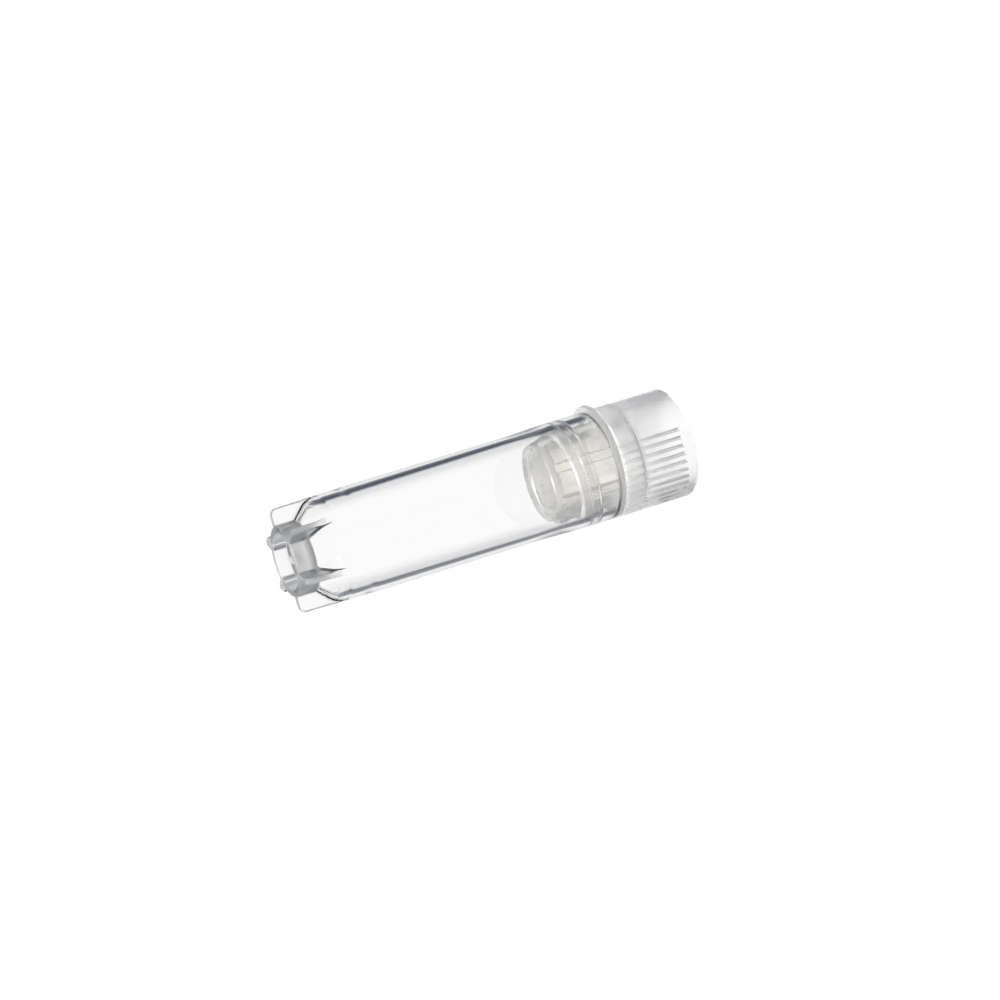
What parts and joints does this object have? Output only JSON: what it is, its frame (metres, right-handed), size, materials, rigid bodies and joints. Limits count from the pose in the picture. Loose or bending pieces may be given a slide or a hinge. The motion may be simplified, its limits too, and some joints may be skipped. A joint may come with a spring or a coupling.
{
  "type": "cryovial",
  "caption": "Clear self-standing cryogenic storage vial with a finned star foot, an internal thread, a ribbed screw cap and a thin silicone washer between cap and tube.",
  "frame": {"origin": "centre of the star foot's flat lower end, on the tube's axis", "axes": "+Z along the tube's axis, from the foot up to the cap; +X along the middle of one fin of the foot"},
  "size_m": [0.0132, 0.0132, 0.0482],
  "materials": {
    "tube": "clear, glossy polypropylene",
    "cap": "natural, milky translucent polypropylene with a satin gloss",
    "washer": "clear silicone rubber"
  },
  "bodies": {
    "tube": {"tube": "tube"},
    "washer": {"washer": "washer"},
    "cap": {"cap": "cap"}
  },
  "joints": [
    {"name": "cap_lift", "type": "slide", "parent": "tube", "child": "washer", "axis": [0, 0, 1], "range_m": [0, 0.0096]},
    {"name": "cap_turn", "type": "hinge", "parent": "washer", "child": "cap", "pos_m": [0, 0, 0.039], "axis": [0, 0, 1], "range_deg": [0, 1441]}
  ],
  "couplings": [
    {"joint": "cap_turn", "follows": "cap_lift", "rad_per_m": 2618}
  ]
}
